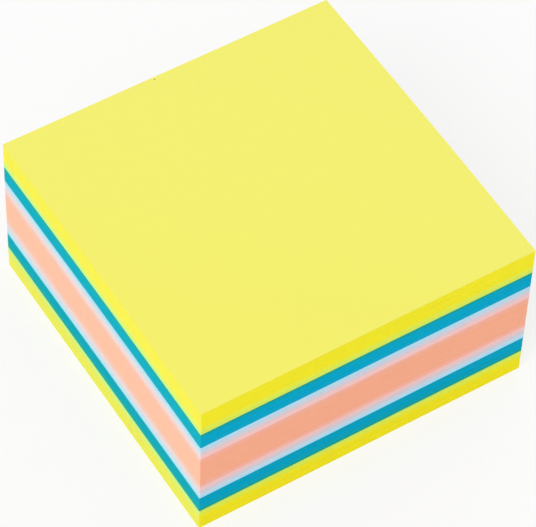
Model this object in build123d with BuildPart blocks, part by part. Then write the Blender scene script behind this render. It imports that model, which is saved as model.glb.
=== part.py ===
from build123d import *
import os

# A memo cube of sticky notes: one pile of square sheets, laid up in runs of a single colour.
# Each sheet clings to the one below by a band of re-stick gum along its back edge, so a run
# lifts off as a block. +X is to the right, -Y is the free front edge, +Y is the gummed back
# edge, and the pile stands on Z = 0, centred on the origin. Lengths are in millimetres.

# Driving dimensions
sheet_width = 76.0  # along X, the 3 inch note
sheet_depth = 76.0  # along Y, from the free edge to the gummed edge
sheet_thickness = 0.0965  # one sheet as it lies in the pile
arch_rise = 0.5  # of the top sheet: its mid-depth above its front and back edges

# The runs from the bottom up, with the number of sheets in each
sheets_in_run = {
    "bottom_yellow_sheets": 61,
    "lower_turquoise_sheets": 47,
    "lower_pale_pink_sheets": 39,
    "peach_sheets": 98,
    "upper_pale_pink_sheets": 39,
    "upper_turquoise_sheets": 46,
    "top_yellow_sheets": 70,
}

pile_height = sheet_thickness * sum(sheets_in_run.values())  # at the front and back edges


def sheet_line(height):
    """One sheet seen from the side, front to back: flat at the base, more arched the higher it lies."""
    rise = arch_rise * height / pile_height
    front, back = (-sheet_depth / 2, height), (sheet_depth / 2, height)
    if rise == 0:
        return Line(front, back)
    return ThreePointArc(front, (0, height + rise), back)


os.makedirs("parts", exist_ok=True)

# The sheets of a run are pressed flat together, so a run is one solid: its side view is closed
# between its lowest and highest sheet and carried across the pile's width. The next run starts
# on the very line that this one ends on, so neighbours meet face to face.
sheets_below = 0
for run_name, sheets in sheets_in_run.items():
    with BuildPart() as run:
        with BuildSketch(Plane.YZ):
            with BuildLine():
                lowest = sheet_line(sheets_below * sheet_thickness)
                highest = sheet_line((sheets_below + sheets) * sheet_thickness)
                Line(lowest @ 0, highest @ 0)
                Line(lowest @ 1, highest @ 1)
            make_face()
        extrude(amount=sheet_width / 2, both=True)
    run.part.label = run_name
    export_step(run.part, f"parts/{run_name}.step")
    sheets_below += sheets
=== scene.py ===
import math

import bpy
import numpy as np
from mathutils import Matrix, Vector


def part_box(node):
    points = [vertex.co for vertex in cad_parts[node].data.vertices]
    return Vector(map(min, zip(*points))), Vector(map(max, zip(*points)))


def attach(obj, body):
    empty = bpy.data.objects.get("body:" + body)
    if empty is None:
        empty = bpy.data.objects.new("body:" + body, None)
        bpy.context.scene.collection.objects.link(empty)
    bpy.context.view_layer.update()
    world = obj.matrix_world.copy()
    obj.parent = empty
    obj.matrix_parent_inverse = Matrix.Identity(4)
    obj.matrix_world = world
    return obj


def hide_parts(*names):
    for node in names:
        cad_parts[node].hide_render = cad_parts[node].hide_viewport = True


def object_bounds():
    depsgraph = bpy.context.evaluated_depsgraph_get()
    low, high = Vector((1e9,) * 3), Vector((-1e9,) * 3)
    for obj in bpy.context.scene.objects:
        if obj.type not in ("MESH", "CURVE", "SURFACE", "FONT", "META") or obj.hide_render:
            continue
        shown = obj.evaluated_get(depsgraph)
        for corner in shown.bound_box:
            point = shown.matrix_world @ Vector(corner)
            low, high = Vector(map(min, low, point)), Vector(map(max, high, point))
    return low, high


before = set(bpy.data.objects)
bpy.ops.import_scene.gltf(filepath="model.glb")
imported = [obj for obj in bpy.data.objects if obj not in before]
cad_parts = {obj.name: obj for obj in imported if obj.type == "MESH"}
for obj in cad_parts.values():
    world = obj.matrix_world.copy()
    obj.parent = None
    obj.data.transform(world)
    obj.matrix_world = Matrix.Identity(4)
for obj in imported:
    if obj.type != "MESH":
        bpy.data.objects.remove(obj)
cad_low, cad_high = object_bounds()


# The lowest note
# The pad stands on one sheet of yellow note paper, 76 mm square. Like every sheet above it, it was
# cut with the whole pile, one stroke of the knife to a side, so its edges show bare fibre. Its
# underside is coated along the back with the re-stick gum that every note carries.

mm = 0.001
sheet_pitch = 0.0965 * mm  # from one sheet to the next
arch_rise = 0.5 * mm  # the top sheet's mid-depth above its front and back edges
front_bow = 0.18 * mm  # the top sheet's front edge also rises between its corners
corner_round = 0.2 * mm  # handling has taken the points off the cut corners
cut_play = 0.05 * mm  # how far inside the pad's full size the average sheet ends
half_width, half_depth = (cad_high - cad_low).xy / 2
pile_height = cad_high.z - arch_rise  # at the corners


def cut_outline(side_steps=38, corner_steps=2):
    """The stations round a sheet, anticlockwise from its front left corner, as many to each side:
    where each lies, which way the cut faces there, and how far round the sheet it is."""
    places, facings = [], []
    middle = np.array([half_width, half_depth]) - corner_round
    bends = np.radians(45) * np.arange(corner_steps + 1) / corner_steps
    angles = np.concatenate([bends - np.radians(45), np.zeros(side_steps - 1), bends[:-1]])
    steps = np.arange(1, side_steps) / side_steps
    along = np.concatenate([np.zeros(corner_steps + 1), steps, np.ones(corner_steps)])
    for side in range(4):
        turn = np.radians(90 * side - 90)
        towards = np.array([np.cos(turn), np.sin(turn)])
        onwards = np.array([-towards[1], towards[0]])
        faces = np.outer(np.cos(angles), towards) + np.outer(np.sin(angles), onwards)
        centres = (towards - onwards) * middle + 2 * np.outer(along, onwards * middle)
        places.append(centres + corner_round * faces)
        facings.append(faces)
    places = np.concatenate(places)
    apart = np.linalg.norm(np.roll(places, -1, 0) - places, axis=1)
    return places, np.concatenate(facings), np.cumsum(apart) - apart


station, facing, distance = cut_outline()
stations = len(station)
here = np.arange(stations)
there = np.roll(here, -1)
perimeter = distance[-1] + distance[1]
freedom = (1 - station[:, 1] / half_depth) / 2  # 1 at the free front edge, 0 where the gum holds


def lie(places, height):
    """These places on the sheet whose corners are at this height, with their own heights."""
    across, deep = places[..., 0] / half_width, places[..., 1] / half_depth
    arch = arch_rise * (1 - deep**2)
    bow = front_bow * (1 - across**2) * np.minimum(deep, 0) ** 2
    return np.column_stack([places, height * (1 + (arch + bow) / pile_height)])


def wavering(chance, rows, waves):
    """Smooth random values round the outline, one row to a sheet, mostly between -1 and 1."""
    wave = np.arange(1, waves + 1)[:, None]
    turn = 2 * math.pi * wave * distance / perimeter
    swing = chance.normal(0, 1, (2, rows, waves)) / math.sqrt(waves)
    return swing[0] @ np.cos(turn) + swing[1] @ np.sin(turn)


knife_wave = 0.012 * mm * wavering(np.random.default_rng(3), 1, 7)[0]
ragged = 0.003 * mm  # how unevenly the knife tears fibres along one edge
own_slip, skew, batch_slip = 0.006 * mm, 0.006 * mm, 0.009 * mm
batch = 12  # sheets that slip together
rim_gap = 0.012 * mm  # the air between two pieces
usual_gap = 0.014 * mm  # the air between two sheets of one piece, from edge to edge
thumbed_gap = 0.030 * mm  # how much more there is where the sheets have been thumbed apart
still_shut, widest_loose = 0.6, 1.5  # the wavering where a gap starts to open, and its limit
shallowest_gap, deepest_gap = 0.025 * mm, 0.06 * mm  # how far in from the edges the gaps go


def cut_sides(low, sheets, chance):
    """The rings of points up the cut sides of a pile whose corners stand at this height: the foot
    and the head of each sheet's edge, and between two sheets the bottom of the gap."""
    # Each sheet slipped a little, and batches of them more, before the knife came down.
    batches = chance.normal(0, 1, sheets + 2 * batch)
    batches = np.convolve(batches, np.ones(batch) / math.sqrt(batch), "valid")[:sheets]
    slip = ragged * chance.normal(0, 1, (sheets, stations))
    slip += own_slip * chance.normal(0, 1, (sheets, 1)) + batch_slip * batches[:, None]
    slip += skew * wavering(chance, sheets, 5)
    slip = np.minimum(slip + knife_wave - cut_play, 0)

    # The air between two sheets is widest along the free edge, where some have been thumbed apart.
    loose = np.clip(wavering(chance, sheets + 1, 4) - still_shut, 0, widest_loose)
    gap = usual_gap + thumbed_gap * freedom * loose
    gap[[0, -1]] = rim_gap
    depth = chance.uniform(shallowest_gap, deepest_gap, sheets)

    rings = []
    for sheet in range(sheets):
        foot = low + sheet * sheet_pitch + gap[sheet] / 2
        line = low + (sheet + 1) * sheet_pitch
        edge = station + facing * slip[sheet][:, None]
        rings += [lie(edge, foot), lie(edge, line - gap[sheet + 1] / 2)]
        rings.append(lie(edge - facing * depth[sheet], line))
    return rings[:-1]


def stack(name, low, sheets, seed, face_rings=3, face_shares=(0.19, 0.19)):
    """A pile of sheets with its corners at height low, as one closed skin that goes in and out
    between the sheets. Its polygons know which sheet they are on and whether the knife made them.
    face_shares are the sizes of the under and the upper face in the skin's flat layout."""
    sides = cut_sides(low, sheets, np.random.default_rng(seed))

    # The faces of the lowest and highest sheet close the skin, in rings about their centre.
    heights = low + rim_gap / 2, low + sheets * sheet_pitch - rim_gap / 2
    shrink = np.linspace(1, 0, face_rings + 1)[1:-1]
    under = [lie(sides[0][:, :2] * share, heights[0]) for share in shrink[::-1]]
    over = [lie(sides[-1][:, :2] * share, heights[1]) for share in shrink]
    centres = [lie(np.zeros((1, 2)), height) for height in heights]
    skin = np.array(under + sides + over)
    points = np.vstack([skin.reshape(-1, 3), *centres])

    bands = len(skin) - 1
    quads = np.stack([here, there, there + stations, here + stations], 1)
    quads = (quads + stations * np.arange(bands)[:, None, None]).reshape(-1, 4)
    last = stations * bands
    under_fan = np.stack([np.full(stations, len(points) - 2), there, here], 1)
    over_fan = np.stack([np.full(stations, len(points) - 1), last + here, last + there], 1)
    mesh = bpy.data.meshes.new(name)
    mesh.from_pydata(points.tolist(), [], quads.tolist() + under_fan.tolist() + over_fan.tolist())
    piece = bpy.data.objects.new(name, mesh)
    bpy.context.scene.collection.objects.link(piece)

    # What the paper material reads, band by band and then for the two fans.
    on_sides = np.repeat(np.arange(sheets), 3)[:-2]
    on_faces = len(under)
    top = np.full(on_faces, sheets - 1)
    sheet = np.concatenate([np.zeros(on_faces), on_sides, top, [0, sheets - 1]])
    cut = np.concatenate([np.zeros(on_faces), np.ones(len(on_sides)), np.zeros(on_faces + 2)])
    for attribute, values in (("sheet", sheet), ("cut", cut)):
        values = np.repeat(values, stations).astype(np.float32)
        mesh.attributes.new(attribute, "FLOAT", "FACE").data.foreach_set("value", values)

    # The two faces are smooth, up to the sharp rim that the knife left.
    mesh.polygons.foreach_set("use_smooth", np.repeat(cut == 0, stations))
    ends = np.empty(2 * len(mesh.edges), int)
    mesh.edges.foreach_get("vertices", ends)
    ring = (ends // stations).reshape(-1, 2)
    on_rim = np.isin(ring, [on_faces, on_faces + len(sides) - 1]).all(1)
    mesh.edges.foreach_set("use_edge_sharp", on_rim & (ring[:, 0] == ring[:, 1]))
    lay_flat(mesh, skin, on_faces, len(on_sides), face_shares)
    return piece


def lay_flat(mesh, skin, on_faces, on_sides, face_shares, margin=0.004, flank=0.3):
    """The skin's flat layout: the four cut sides as strips, with the under and upper face as squares
    above them. In a strip, each of a gap's two flanks is as tall as flank times a sheet's edge."""
    strip = (1 - max(face_shares)) / 4
    to_a_side = stations // 4
    side = here // to_a_side
    start = distance[side * to_a_side]
    ends = distance, np.append(distance, perimeter)[1:]
    left, right = (margin + (end - start) / (perimeter / 4) * (1 - 2 * margin) for end in ends)
    tall = np.resize([1.0, flank, flank], on_sides)
    rise = np.concatenate([[0], np.cumsum(tall)]) / sum(tall)

    def on_strip(share):
        return strip * side + margin + share * (strip - 2 * margin)

    def on_square(points, upper):
        size = face_shares[upper] - 2 * margin
        corner = np.array([margin + upper * face_shares[0], 1 - max(face_shares) + margin])
        room = 1.002  # a square is a little wider than the face that it holds
        return corner + size * (points[:, :2] / (np.array([half_width, half_depth]) * room) + 1) / 2

    spots = []
    for band, (ring, above) in enumerate(zip(skin, skin[1:])):
        level = band - on_faces
        if 0 <= level < on_sides:
            foot, head = on_strip(rise[level]), on_strip(rise[level + 1])
            corners = [(left, foot), (right, foot), (right, head), (left, head)]
            corners = [np.stack(corner, 1) for corner in corners]
        else:
            points = ring[here], ring[there], above[there], above[here]
            corners = [on_square(p, level > 0) for p in points]
        spots.append(np.stack(corners, 1).reshape(-1, 2))
    centre = np.zeros((stations, 2))
    for upper, points in ((0, skin[0][[there, here]]), (1, skin[-1][[here, there]])):
        corners = [on_square(p, upper) for p in (centre, *points)]
        spots.append(np.stack(corners, 1).reshape(-1, 2))
    layout = mesh.uv_layers.new(name="OFBake")
    layout.uv.foreach_set("vector", np.concatenate(spots).astype(np.float32).ravel())


class Wire:
    """An output of a material's nodes. Arithmetic on wires adds Math nodes."""

    def __init__(self, tree, socket=None):
        self.tree, self.socket = tree, socket

    def node(self, kind, settings, inputs, output=0):
        """Adds a node, makes its settings, then sets or links its sockets, and gives one output."""
        made = self.tree.nodes.new("ShaderNode" + kind)
        for setting, value in settings.items():
            setattr(made, setting, value)
        for socket, value in inputs.items():
            if isinstance(value, Wire):
                self.tree.links.new(value.socket, made.inputs[socket])
            else:
                made.inputs[socket].default_value = value
        return Wire(self.tree, made.outputs[output])

    def maths(self, operation, *values):
        return self.node("Math", {"operation": operation}, dict(enumerate(values)))

    def __add__(self, other):
        return self.maths("ADD", self, other)

    def __sub__(self, other):
        return self.maths("SUBTRACT", self, other)

    def __rsub__(self, other):
        return self.maths("SUBTRACT", other, self)

    def __mul__(self, other):
        return self.maths("MULTIPLY", self, other)

    def __truediv__(self, other):
        return self.maths("DIVIDE", self, other)

    def __abs__(self):
        return self.maths("ABSOLUTE", self)

    __radd__ = __add__
    __rmul__ = __mul__

    def eased(self, low, high):
        """0 at low and before, 1 at high and beyond, and smooth between."""
        ends = {"Value": self, "From Min": low, "From Max": high}
        return self.node("MapRange", {"interpolation_type": "SMOOTHSTEP"}, ends)

    def blend(self, first, second):
        """The first colour where this wire is 0, the second where it is 1."""
        return self.node("Mix", {"data_type": "RGBA"}, {0: self, 6: first, 7: second}, 2)

    def tone(self, colour):
        """The colour made this many times as bright."""
        return self.node("VectorMath", {"operation": "SCALE"}, {0: colour, "Scale": self})

    def cloud(self, per_mm, stretch=(1, 1, 1), detail=2.0):
        """Soft noise about 0, from about -0.5 to 0.5, where this wire is a place in metres."""
        spread = [x * per_mm / mm for x in stretch]
        place = self.node("VectorMath", {"operation": "MULTIPLY"}, {0: self, 1: spread})
        found = self.node("TexNoise", {}, {"Vector": place, "Scale": 1.0, "Detail": detail})
        return found - 0.5


def srgb(red, green, blue):
    """A colour written as a screen shows it, 0 to 255, in the linear numbers that shaders take."""
    shown = np.array([red, green, blue]) / 255
    linear = np.where(shown <= 0.04045, shown / 12.92, ((shown + 0.055) / 1.055) ** 2.4)
    return (*linear.tolist(), 1.0)


def paper_material(name, face, cut_colours, traces=(), finish=None, gloss=0.05, seed=0):
    """Uncoated note paper: faces of felted fibre, and cut edges where single sheets show.
    cut_colours are for the left and right sides, paler with a painted sheen for the whitening that
    the key light lays on them, and for the front and back. Each trace is such a pair, the sheet
    where it is strongest and the one where it has gone."""
    material = bpy.data.materials.new(name)
    material.use_nodes = True
    tree = material.node_tree
    start = Wire(tree)
    place = start.node("TexCoord", {}, {}, "Object")
    x = start.node("SeparateXYZ", {}, {0: place}, 0)
    y = start.node("SeparateXYZ", {}, {0: place}, 1)
    sheet = start.node("Attribute", {"attribute_name": "sheet"}, {}, "Fac")
    cut = start.node("Attribute", {"attribute_name": "cut"}, {}, "Fac")

    # On the faces, clouds of thicker and thinner pulp, and the fibres themselves.
    pulp = place.cloud(0.35, detail=3.0)
    fibre = place.cloud(6.0, (1.0, 0.45, 1.0), detail=3.0)
    face_tone = 1 + 0.03 * pulp + 0.05 * fibre
    face_colour = face_tone.tone(face[:3])

    # The left and right sides take the paler colour of each pair, a painted sheen for the whitening
    # that the key light lays on the left side; the front and back take the stronger colour.
    painted_sheen_sides = (abs(x) / half_width - abs(y) / half_depth).eased(-0.002, 0.002)
    cut_colour = painted_sheen_sides.blend(cut_colours[1], cut_colours[0])
    # along is a trace's colour for the left and right sides, with the same painted sheen, and across
    # is its colour for the front and back.
    for along, across, strongest, gone in traces:
        trace = painted_sheen_sides.blend(across, along)
        cut_colour = sheet.eased(gone, strongest).blend(cut_colour, trace)

    # On the edges, each sheet has its own tint, batches drift, and the knife leaves upright streaks.
    each = start.node("TexWhiteNoise", {"noise_dimensions": "1D"}, {"W": sheet + seed}, "Value")
    drift_place = {"W": sheet * 0.13 + seed, "Scale": 1.0}
    drift = start.node("TexNoise", {"noise_dimensions": "1D"}, drift_place)
    streak = place.cloud(1.3, (1.0, 1.0, 0.05), detail=4.0)
    grit = place.cloud(9.0, detail=2.0)
    cut_tone = 1 + 0.06 * (each - 0.5) + 0.06 * (drift - 0.5) + 0.04 * streak + 0.08 * grit
    colour = cut.blend(face_colour, cut_tone.tone(cut_colour))
    roughness = 0.8 + 0.15 * pulp
    if finish:
        colour, roughness = finish(place, x, y, colour, roughness)

    relief = cut * grit * 0.6 + (1 - cut) * (0.7 * fibre + 0.5 * pulp)
    bump = start.node("Bump", {}, {"Strength": 0.5, "Distance": 0.02 * mm, "Height": relief})
    shader = tree.nodes["Principled BSDF"]
    for socket, wire in (("Base Color", colour), ("Roughness", roughness), ("Normal", bump)):
        tree.links.new(wire.socket, shader.inputs[socket])
    shader.inputs["Specular IOR Level"].default_value = gloss
    return material


yellow_face = srgb(243, 239, 112)
# In each cut pair the first, paler colour has the painted sheen of the left and right sides in it.
lower_yellow_cut = (srgb(240, 240, 100), srgb(250, 238, 38))
gum_depth = 20 * mm  # how far the gummed band reaches in from the back edge
gum_blur = 0.3 * mm  # how far the film thins out on either side of its front edge
face_gloss = 0.3  # faces pressed smooth reflect a little more than torn fibre


def gummed(place, x, y, colour, roughness):
    """The band of gum: a thin dried film, a little darker and smoother than the bare paper."""
    gum_edge = half_depth - gum_depth
    film = y.eased(gum_edge - gum_blur, gum_edge + gum_blur)
    blotch = 1 + 0.25 * place.cloud(0.8)
    film_colour = (0.96 * blotch).tone(colour)
    return film.blend(colour, film_colour), roughness - 0.25 * film


lowest_note = stack("lowest_note", 0.0, 1, seed=11, face_rings=24, face_shares=(0.95, 0.04))
lowest_note.data.materials.append(
    paper_material(
        "lowest note paper", yellow_face, lower_yellow_cut, finish=gummed, gloss=face_gloss
    )
)
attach(lowest_note, "root")


# The bottom yellow sheets
# The rest of the lowest run: plain yellow notes, gummed to each other along the back. On the cut
# sides the light sinks in among the fibres, so the yellow is stronger there than on a note's face.


def run_of_sheets(name, node, first, sheets, material, seed):
    """The sheets of one run, from the sheet line first, in place of its CAD solid."""
    piece = stack(name, first * sheet_pitch, sheets, seed)
    piece.data.materials.append(material)
    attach(piece, "root")
    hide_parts(node)


def sheets_below(node):
    """How many sheets lie below this run, from its CAD solid."""
    return round(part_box(node)[0].z / sheet_pitch)


# The knife drags a trace of each colour over its neighbours, so the borders are not quite clean.
lime_trace = (srgb(203, 246, 148), srgb(219, 244, 104))
bottom_yellow_count = 60
run_of_sheets(
    "bottom_yellow_run",
    "bottom_yellow_sheets",
    1,
    bottom_yellow_count,
    paper_material(
        "bottom yellow paper",
        yellow_face,
        lower_yellow_cut,
        traces=[(*lime_trace, bottom_yellow_count, 33)],
        seed=100,
    ),
    seed=12,
)


# The lower turquoise sheets
# Notes dyed through with a strong turquoise, gummed along the back like the rest. The colour
# swallows red light, so neither the knife marks nor the gaps between sheets show much.

turquoise_face = srgb(30, 175, 195)
lower_turquoise_cut = (srgb(12, 175, 192), srgb(0, 171, 206))
green_trace = (srgb(36, 179, 156), srgb(20, 169, 148))
lower_turquoise_count = 47
run_of_sheets(
    "lower_turquoise_run",
    "lower_turquoise_sheets",
    sheets_below("lower_turquoise_sheets"),
    lower_turquoise_count,
    paper_material(
        "lower turquoise paper",
        turquoise_face,
        lower_turquoise_cut,
        traces=[(*green_trace, 0, 16)],
        seed=200,
    ),
    seed=13,
)


# The lower pale pink sheets
# Notes tinted so lightly that they are nearly white, with a cool pink cast. The dyes of both
# neighbours show on their cut edges, turquoise at the bottom of the run and peach at the top.

pink_face = srgb(240, 226, 234)
pink_cut = (srgb(228, 226, 231), srgb(228, 214, 224))
icy_trace = (srgb(176, 232, 247), srgb(182, 233, 253))
rosy_trace = (srgb(247, 216, 209), srgb(254, 207, 203))
lower_pink_count = 39
run_of_sheets(
    "lower_pale_pink_run",
    "lower_pale_pink_sheets",
    sheets_below("lower_pale_pink_sheets"),
    lower_pink_count,
    paper_material(
        "lower pale pink paper",
        pink_face,
        pink_cut,
        traces=[(*icy_trace, 0, 25), (*rosy_trace, lower_pink_count, 17)],
        seed=300,
    ),
    seed=14,
)


# The peach sheets
# The thickest run, in the middle of the pad: about a hundred notes dyed a warm peach, laid up
# between the two pale runs before the pile was cut.

peach_face = srgb(254, 196, 165)
peach_cut = (srgb(253, 200, 171), srgb(255, 183, 150))
pale_trace = (srgb(246, 208, 195), srgb(253, 190, 174))
peach_count = 98
run_of_sheets(
    "peach_run",
    "peach_sheets",
    sheets_below("peach_sheets"),
    peach_count,
    paper_material(
        "peach paper",
        peach_face,
        peach_cut,
        traces=[(*pale_trace, 0, 18), (*pale_trace, peach_count, 80)],
        seed=400,
    ),
    seed=15,
)


# The upper pale pink sheets
# The same pale paper as below the peach, laid up again above it and cut by the same strokes. Here
# the peach shows at the bottom of the run, and the turquoise at the top.

upper_pink_count = 39
run_of_sheets(
    "upper_pale_pink_run",
    "upper_pale_pink_sheets",
    sheets_below("upper_pale_pink_sheets"),
    upper_pink_count,
    paper_material(
        "upper pale pink paper",
        pink_face,
        pink_cut,
        traces=[(*rosy_trace, 0, 22), (*icy_trace, upper_pink_count, 14)],
        seed=500,
    ),
    seed=16,
)


# The upper turquoise sheets
# The same turquoise paper as near the base, laid up again under the top run. Its cut edges look a
# little brighter than those of the lower run.

upper_turquoise_cut = (srgb(12, 181, 201), srgb(0, 176, 212))
upper_turquoise_count = 46
run_of_sheets(
    "upper_turquoise_run",
    "upper_turquoise_sheets",
    sheets_below("upper_turquoise_sheets"),
    upper_turquoise_count,
    paper_material(
        "upper turquoise paper",
        turquoise_face,
        upper_turquoise_cut,
        traces=[(*green_trace, upper_turquoise_count, 30)],
        seed=600,
    ),
    seed=17,
)


# The top yellow sheets
# The run that is used first: yellow notes again, all but the uppermost. Each is held by the gum on
# its own underside, and peels off with it.

upper_yellow_cut = (srgb(248, 242, 84), srgb(252, 242, 46))
top_yellow_count = 69
run_of_sheets(
    "top_yellow_run",
    "top_yellow_sheets",
    sheets_below("top_yellow_sheets"),
    top_yellow_count,
    paper_material(
        "top yellow paper",
        yellow_face,
        upper_yellow_cut,
        traces=[(*lime_trace, 0, 28)],
        seed=700,
    ),
    seed=18,
)


# The top note
# The uppermost sheet of yellow paper, blank, with a single speck in the pulp near the gummed
# edge. It is held by the gum along its back and lies as flat as the pile lets it.

speck_x, speck_y = -3.4 * mm, 37.3 * mm
speck_radius = 0.17 * mm
speck_colour = srgb(150, 138, 48)
# The colour that the near left corner of the top note reaches in a painted light falloff.
painted_falloff_colour = srgb(243, 238, 104)


def topmost(place, x, y, colour, roughness):
    """A painted light falloff, the yellow a little stronger towards the near left corner and paler
    towards the back right, and the speck.
    """
    # Painted light falloff: 1 at the near left corner, fading to 0 towards the back right.
    painted_falloff = (x / half_width + y / half_depth).eased(1.2, -1.8)
    colour = painted_falloff.blend(colour, (1 - 0.004 * painted_falloff).tone(painted_falloff_colour[:3]))
    sideways, deeper = x - speck_x, y - speck_y
    from_speck = sideways * sideways + deeper * deeper
    spread = from_speck / speck_radius**2 + 1.5 * place.cloud(4.0)
    return spread.eased(1.2, 0.6).blend(colour, speck_colour), roughness


top_low = pile_height - sheet_pitch
top_note = stack("top_note", top_low, 1, seed=19, face_rings=40, face_shares=(0.04, 0.95))
top_note.data.materials.append(
    paper_material("top note paper", yellow_face, upper_yellow_cut, finish=topmost, gloss=face_gloss)
)
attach(top_note, "root")


# The studio
# A white table under soft light, with the pad seen from above its front left corner. The table
# and the room glow white for a ray that looks at them, so the pad stands before plain white.

table_reach = 3.0
floor_mesh = bpy.data.meshes.new("floor")
quarters = ((-1, -1), (1, -1), (1, 1), (-1, 1))
corners = [(x * table_reach, y * table_reach, 0) for x, y in quarters]
floor_mesh.from_pydata(corners, [], [(0, 1, 2, 3)])
floor = bpy.data.objects.new("floor", floor_mesh)
bpy.context.scene.collection.objects.link(floor)

table_paint = (0.92, 0.92, 0.92, 1)
glow_near, glow_far = 0.7, 1.0  # how much of the table's look is plain white, by the pad and away
shadow_near, shadow_far = 0.06, 0.3  # metres from the pad's middle


def looked_at(start):
    """1 for a ray that looks at the backdrop, straight or in a mirror or glass, and 0 for light."""
    kinds = ("Camera", "Glossy", "Transmission")
    return sum(start.node("LightPath", {}, {}, f"Is {kind} Ray") for kind in kinds)


white = bpy.data.materials.new("white table")
white.use_nodes = True
table = Wire(white.node_tree)
paint = white.node_tree.nodes["Principled BSDF"]
paint.inputs["Base Color"].default_value = table_paint
paint.inputs["Roughness"].default_value = 0.9
paint.inputs["Specular IOR Level"].default_value = 0.0
spot = table.node("TexCoord", {}, {}, "Object")
away = table.node("VectorMath", {"operation": "LENGTH"}, {0: spot}, "Value")
glow_share = glow_near + (glow_far - glow_near) * away.eased(shadow_near, shadow_far)
glow = table.node("Emission", {}, {"Color": (1, 1, 1, 1), "Strength": 1.0})
painted = Wire(white.node_tree, paint.outputs[0])
surface = table.node("MixShader", {}, {0: looked_at(table) * glow_share, 1: painted, 2: glow})
shown = white.node_tree.nodes["Material Output"].inputs["Surface"]
white.node_tree.links.new(surface.socket, shown)
floor_mesh.materials.append(white)

room_light = 0.67
world = bpy.data.worlds.new("studio")
world.use_nodes = True
bpy.context.scene.world = world
room = Wire(world.node_tree)
backdrop = world.node_tree.nodes["Background"]
backdrop.inputs["Color"].default_value = (1, 1, 1, 1)
strength = room_light + (1 - room_light) * looked_at(room)
world.node_tree.links.new(strength.socket, backdrop.inputs["Strength"])


def turned_to(back):
    """The turn that makes a lamp or camera look against this direction, with its top upwards."""
    return (-back).to_track_quat("-Z", "Y")


def softbox(name, towards, away, size, power):
    """A square lamp that lights the pad from this side."""
    lamp = bpy.data.lights.new(name, "AREA")
    lamp.size, lamp.energy = size, power
    holder = bpy.data.objects.new(name, lamp)
    back = Vector(towards).normalized()
    holder.location = back * away
    holder.rotation_mode = "QUATERNION"
    holder.rotation_quaternion = turned_to(back)
    bpy.context.scene.collection.objects.link(holder)


softbox("key light", towards=(-0.62, -0.3, 0.79), away=2.0, size=1.2, power=16.5)
softbox("fill light", towards=(0.8, 0.6, 0.35), away=2.0, size=1.5, power=7.5)

scene = bpy.context.scene
scene.view_settings.view_transform = "Standard"

azimuth, elevation, roll = (math.radians(x) for x in (-33.82, 52.34, 2.52))
camera_distance = 687.6 * mm
aim = Vector((-0.13 * mm, -1.67 * mm, pile_height / 2))
camera = bpy.data.cameras.new("camera")
camera.lens = 230.8
camera.sensor_width = 36
camera.clip_start, camera.clip_end = 0.05, 20
eye = bpy.data.objects.new("camera", camera)
flat = math.cos(elevation)
back = Vector((math.sin(azimuth) * flat, -math.cos(azimuth) * flat, math.sin(elevation)))
eye.rotation_mode = "QUATERNION"
eye.rotation_quaternion = turned_to(back) @ Matrix.Rotation(roll, 3, "Z").to_quaternion()
eye.location = aim + back * camera_distance
scene.collection.objects.link(eye)
scene.camera = eye
